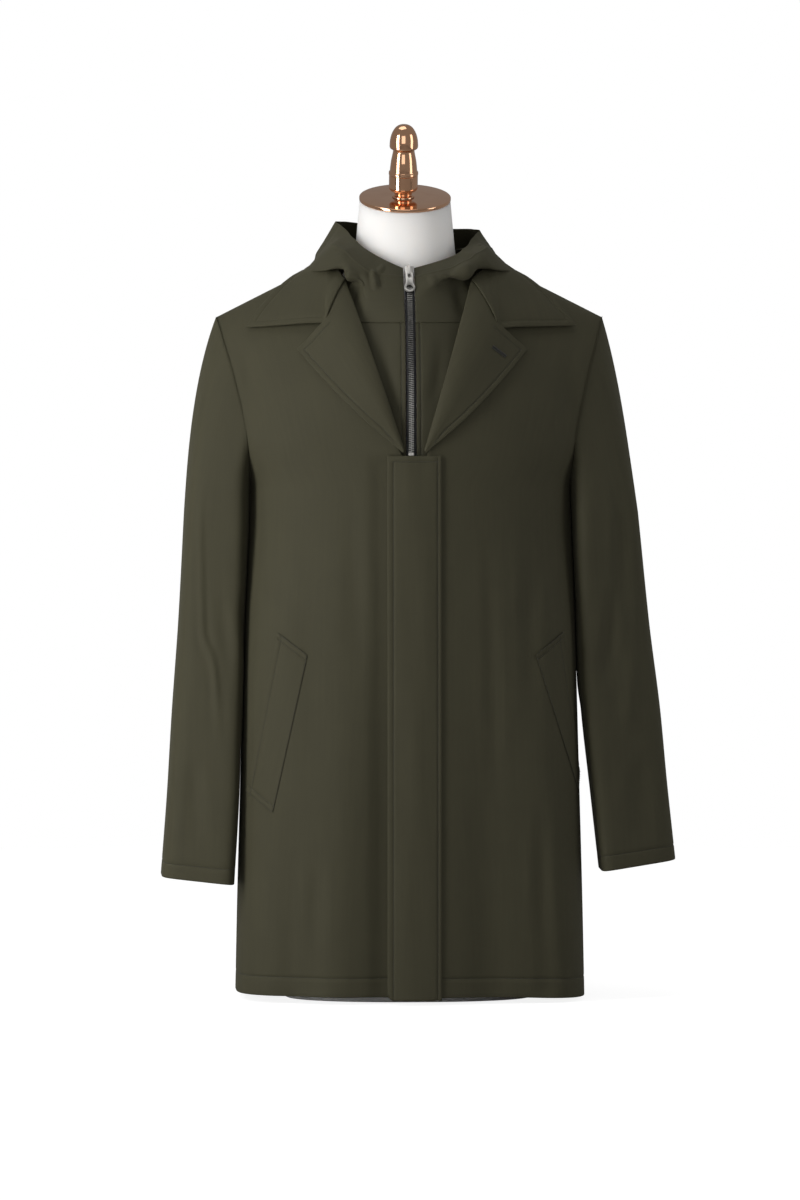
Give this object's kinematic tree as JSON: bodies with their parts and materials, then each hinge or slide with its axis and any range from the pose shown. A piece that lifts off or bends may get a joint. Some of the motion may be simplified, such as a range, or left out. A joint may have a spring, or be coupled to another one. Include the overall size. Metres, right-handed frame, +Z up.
{
  "type": "overcoat on dress form",
  "caption": "Olive overcoat with notched lapels, hidden fly front and welt pockets, worn over a zip-in hooded bib on a limbless dress form with a turned finial.",
  "frame": {"origin": "centre of the form's flat base, on the floor", "axes": "+Z up, -Y the coat's front, +X the wearer's left"},
  "size_m": [0.609, 0.3375, 1.035],
  "materials": {
    "coating": "fine twill, low sheen",
    "bib_cloth": "fine twill, low sheen",
    "zip_tape": "woven tape",
    "zip_metal": "polished nickel",
    "form_cover": "smooth off-white",
    "copper": "polished rose copper plate"
  },
  "bodies": {
    "coat": {"back": "coating", "bib_left": "bib_cloth", "bib_right": "bib_cloth", "collar": "coating", "form_body": "form_cover", "form_cap": "copper", "form_finial": "copper", "front_left": "coating", "front_right": "coating", "hood_left": "bib_cloth", "hood_right": "bib_cloth", "lapel_left": "coating", "lapel_right": "coating", "placket": "coating", "pocket_welt_left": "coating", "pocket_welt_right": "coating", "under_sleeve_left": "coating", "under_sleeve_right": "coating", "upper_sleeve_left": "coating", "upper_sleeve_right": "coating", "zip_chain": "zip_metal", "zip_slider": "zip_metal", "zip_tape": "zip_tape"},
    "pull": {"zip_pull": "zip_metal"}
  },
  "joints": [
    {"name": "pull_swing", "type": "hinge", "parent": "coat", "child": "pull", "pos_m": [-0.00317, -0.07555, 0.85852], "axis": [-1, 0, 0], "range_deg": [0, 140]}
  ]
}
